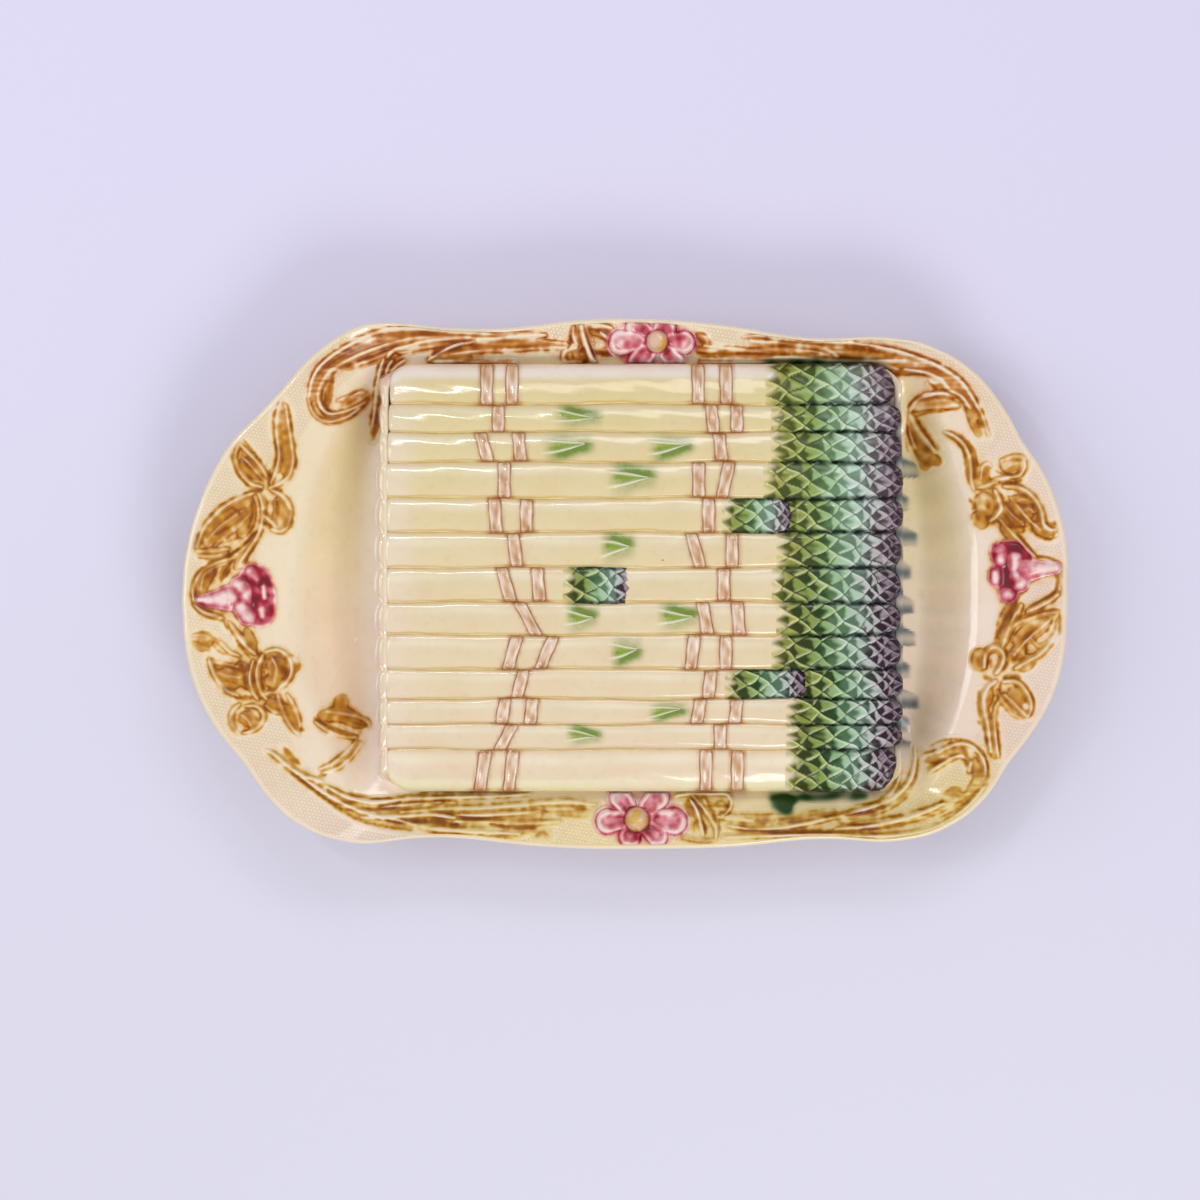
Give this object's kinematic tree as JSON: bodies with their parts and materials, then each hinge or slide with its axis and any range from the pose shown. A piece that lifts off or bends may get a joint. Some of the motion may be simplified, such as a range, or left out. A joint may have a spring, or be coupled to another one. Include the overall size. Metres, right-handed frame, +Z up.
{
  "type": "asparagus plate",
  "caption": "Lobed oval earthenware platter with a raised bed of moulded asparagus spears, a well at each end and relief flowers, leaves and stems on the rim.",
  "frame": {"origin": "middle of the plate's footprint, on the table under the foot ring", "axes": "+X along the plate toward the heads of the spears, +Y toward the back edge, +Z up"},
  "size_m": [0.3804, 0.2283, 0.046],
  "materials": {
    "cream_glaze": "gloss",
    "foot_biscuit": "matte",
    "stalk_glaze": "gloss",
    "green_glaze": "gloss",
    "tie_glaze": "gloss",
    "bract_glaze": "gloss",
    "pink_glaze": "gloss",
    "ochre_glaze": "gloss"
  },
  "bodies": {
    "root": {"platter_body": "cream_glaze", "foot_ring": "foot_biscuit", "stalk_01": "stalk_glaze", "stalk_02": "stalk_glaze", "stalk_03": "stalk_glaze", "stalk_04": "stalk_glaze", "stalk_05": "stalk_glaze", "stalk_06": "stalk_glaze", "stalk_07": "stalk_glaze", "stalk_08": "stalk_glaze", "stalk_09": "stalk_glaze", "stalk_10": "stalk_glaze", "stalk_11": "stalk_glaze", "stalk_12": "stalk_glaze", "stalk_13": "stalk_glaze", "head_01": "green_glaze", "head_02": "green_glaze", "head_03": "green_glaze", "head_04": "green_glaze", "head_05": "green_glaze", "head_06": "green_glaze", "head_07": "green_glaze", "head_08": "green_glaze", "head_09": "green_glaze", "head_10": "green_glaze", "head_11": "green_glaze", "head_12": "green_glaze", "head_13": "green_glaze", "short_head_05": "green_glaze", "short_head_07": "green_glaze", "short_head_10": "green_glaze", "ties_left": "tie_glaze", "ties_right": "tie_glaze", "bracts": "bract_glaze", "flower_back": "pink_glaze", "flower_front": "pink_glaze", "flower_left": "pink_glaze", "flower_right": "pink_glaze", "spray_left_upper": "ochre_glaze", "spray_left_lower": "ochre_glaze", "spray_right_upper": "ochre_glaze", "spray_right_lower": "ochre_glaze", "stem_back_left": "ochre_glaze", "stem_back_right": "ochre_glaze", "stem_front_left": "ochre_glaze", "stem_front_right": "ochre_glaze", "bow_back": "ochre_glaze", "bow_front": "ochre_glaze"}
  },
  "joints": []
}
